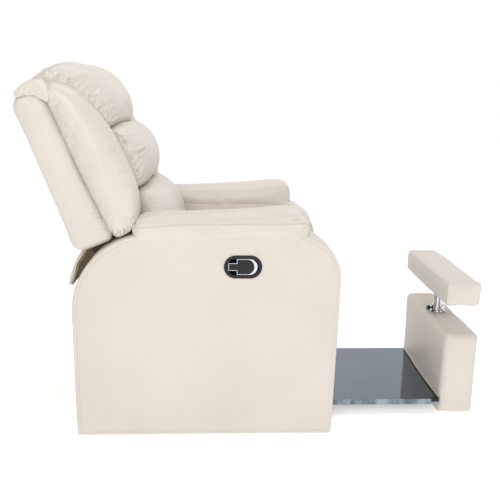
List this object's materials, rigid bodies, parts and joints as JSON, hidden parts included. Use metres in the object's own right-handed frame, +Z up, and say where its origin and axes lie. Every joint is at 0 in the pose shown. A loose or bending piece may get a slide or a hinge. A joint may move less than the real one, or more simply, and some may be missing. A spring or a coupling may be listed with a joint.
{
  "type": "pedicure spa chair",
  "caption": "Upholstered salon chair with a reclining tufted-roll back, box arms, a sliding tray drawer and a footrest block with a height-adjustable foot pad.",
  "frame": {"origin": "middle of the chair's length and width on the floor, with the drawer open and the back upright", "axes": "+X the way the chair faces, +Y to the sitter's left, +Z up"},
  "size_m": [1.3466, 0.7054, 1.0684],
  "materials": {
    "cream_cover": "satin",
    "tan_lining": "matt",
    "webbing": "matt",
    "plywood": "raw",
    "timber": "raw",
    "zinc_steel": "zinc plated",
    "bright_steel": "bright",
    "chrome": "polished",
    "tray_steel": "polished dark",
    "black_plastic": "gloss",
    "black_paint": "satin",
    "dark_nylon": "matt"
  },
  "bodies": {
    "base": {"arm_cover_right": "cream_cover", "arm_cover_left": "cream_cover", "arm_board_outer_right": "plywood", "arm_board_inner_right": "plywood", "arm_board_outer_left": "plywood", "arm_board_inner_left": "plywood", "arm_studs_right": "timber", "arm_studs_left": "timber", "armrest_pad_right": "cream_cover", "armrest_pad_left": "cream_cover", "seat_rails": "timber", "seat_webbing": "webbing", "seat_cushion": "cream_cover", "front_apron": "cream_cover", "base_rails": "timber", "runner_channels": "zinc_steel", "hinge_plates": "zinc_steel", "pivot_bolts": "bright_steel", "floor_glides": "dark_nylon", "frame_bolts": "bright_steel", "handle_bezel": "black_plastic", "handle_pin": "bright_steel", "handle_spring": "bright_steel", "lock_cylinder": "black_paint", "lock_bracket": "zinc_steel", "lock_pin": "bright_steel", "release_cable": "black_plastic"},
    "backrest": {"back_stiles": "timber", "back_rails": "timber", "back_panel": "plywood", "back_shell": "cream_cover", "bolster_right": "cream_cover", "bolster_left": "cream_cover", "top_band": "cream_cover", "headrest_roll": "cream_cover", "middle_roll": "cream_cover", "lumbar_roll": "cream_cover", "rear_flap": "tan_lining", "back_brackets": "zinc_steel", "bracket_bolts": "bright_steel", "torque_tube": "zinc_steel"},
    "lock_rod": {"lock_rod": "bright_steel"},
    "drawer": {"drawer_tray": "tray_steel", "tray_clip": "black_plastic", "block_core": "plywood", "block_cover": "cream_cover", "post_sleeve": "zinc_steel", "post_collar": "chrome", "side_axles": "bright_steel", "floor_axle": "zinc_steel"},
    "side_rollers_front": {"side_rollers_front": "dark_nylon"},
    "side_rollers_rear": {"side_rollers_rear": "dark_nylon"},
    "floor_rollers": {"floor_rollers": "dark_nylon"},
    "post": {"footrest_post": "chrome"},
    "foot_pad": {"foot_pad_cushion": "cream_cover", "foot_pad_board": "plywood", "foot_pad_hub": "zinc_steel"},
    "lock_knob": {"lock_knob": "black_plastic"},
    "handle": {"recline_handle": "black_plastic", "handle_trim": "chrome"}
  },
  "joints": [
    {"name": "back_recline", "type": "hinge", "parent": "base", "child": "backrest", "pos_m": [-0.31767, 0, 0.379], "axis": [0, -1, 0], "range_deg": [0, 35]},
    {"name": "lock_slide", "type": "slide", "parent": "base", "child": "lock_rod", "axis": [1, 0, 0], "range_m": [0, 0.0605]},
    {"name": "drawer_slide", "type": "slide", "parent": "base", "child": "drawer", "axis": [1, 0, 0], "range_m": [-0.3, 0]},
    {"name": "side_roller_front_spin", "type": "hinge", "parent": "drawer", "child": "side_rollers_front", "pos_m": [0.02832, 0, 0.04], "axis": [0, 1, 0], "continuous": true},
    {"name": "side_roller_rear_spin", "type": "hinge", "parent": "drawer", "child": "side_rollers_rear", "pos_m": [-0.11167, 0, 0.04], "axis": [0, 1, 0], "continuous": true},
    {"name": "floor_roller_spin", "type": "hinge", "parent": "drawer", "child": "floor_rollers", "pos_m": [0.61833, 0, 0.016], "axis": [0, 1, 0], "continuous": true},
    {"name": "post_height", "type": "slide", "parent": "drawer", "child": "post", "axis": [0, 0, 1], "range_m": [-0.06, 0.05]},
    {"name": "pad_swivel", "type": "hinge", "parent": "post", "child": "foot_pad", "pos_m": [0.61233, 0, 0.38], "axis": [0, 0, 1], "range_deg": [-10, 10]},
    {"name": "knob_turn", "type": "hinge", "parent": "drawer", "child": "lock_knob", "pos_m": [0.57832, 0, 0.283], "axis": [1, 0, 0], "range_deg": [-180, 180]},
    {"name": "handle_pull", "type": "hinge", "parent": "base", "child": "handle", "pos_m": [-0.03567, -0.341, 0.516], "axis": [0, 0, 1], "range_deg": [0, 25], "stiffness_Nm_per_rad": 0.8}
  ],
  "couplings": [
    {"joint": "lock_slide", "follows": "back_recline", "m_per_rad": 0.098452}
  ]
}
